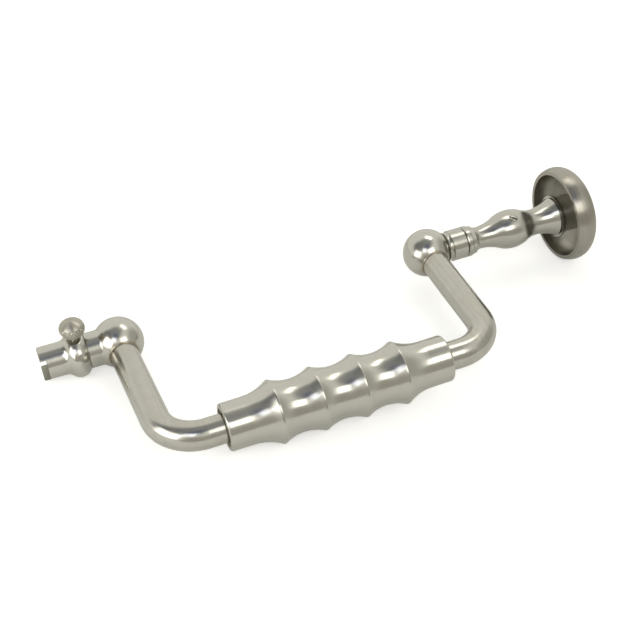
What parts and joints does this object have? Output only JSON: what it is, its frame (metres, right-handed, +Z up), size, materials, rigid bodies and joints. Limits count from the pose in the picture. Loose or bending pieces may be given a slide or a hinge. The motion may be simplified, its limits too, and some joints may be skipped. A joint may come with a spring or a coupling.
{
  "type": "surgical hand drill",
  "caption": "Crank hand drill for surgery: slotted bit socket with thumb screw, cranked rod with ridged turning grip, and a turning handle with domed head pad.",
  "frame": {"origin": "middle of the footprint's box, on the surface that the drill lies on", "axes": "+X from the bit socket towards the head pad, +Y from the crank's grip towards the drill's axis, +Z up"},
  "size_m": [0.273, 0.108, 0.0468],
  "materials": {
    "crank_steel": "satin",
    "socket_steel": "polished",
    "braze": "satin",
    "handle_steel": "satin",
    "grip_steel": "satin",
    "pad_steel": "brushed",
    "washer_steel": "polished",
    "spindle_steel": "ground",
    "bush_bronze": "satin",
    "knob_steel": "knurled",
    "screw_steel": "satin"
  },
  "bodies": {
    "crank": {"crank_rod": "crank_steel", "lower_knuckle": "crank_steel", "lower_braze": "braze", "chuck_socket": "socket_steel", "upper_knuckle": "crank_steel", "upper_braze": "braze", "journal_collar": "handle_steel", "spindle": "spindle_steel"},
    "head": {"handle_barrel": "handle_steel", "front_bush": "bush_bronze", "rear_bush": "bush_bronze", "thrust_ball": "spindle_steel", "retaining_screw": "screw_steel", "pad_stud": "spindle_steel", "pad_washer": "washer_steel", "head_pad": "pad_steel"},
    "grip": {"grip_sleeve": "grip_steel", "grip_bush_lower": "bush_bronze", "grip_bush_upper": "bush_bronze"},
    "lock_stem": {"lock_stem": "screw_steel"},
    "lock_knob": {"lock_knob": "knob_steel"}
  },
  "joints": [
    {"name": "head_spin", "type": "hinge", "parent": "crank", "child": "head", "pos_m": [0.06952, 0.03075, 0.02037], "axis": [0.9986, 0, 0.0525], "continuous": true},
    {"name": "grip_spin", "type": "hinge", "parent": "crank", "child": "grip", "pos_m": [-0.02469, -0.04025, 0.01523], "axis": [0.9986, 0, 0.0525], "continuous": true},
    {"name": "lock_travel", "type": "slide", "parent": "crank", "child": "lock_stem", "axis": [0.0525, 0.0027, -0.9986], "range_m": [-0.0015, 0.0016]},
    {"name": "lock_turn", "type": "hinge", "parent": "lock_stem", "child": "lock_knob", "pos_m": [-0.1197, 0.03072, 0.02143], "axis": [0.0525, 0.0027, -0.9986], "range_deg": [-674, 719]}
  ],
  "couplings": [
    {"joint": "lock_travel", "follows": "lock_turn", "m_per_rad": 0.00012732}
  ]
}
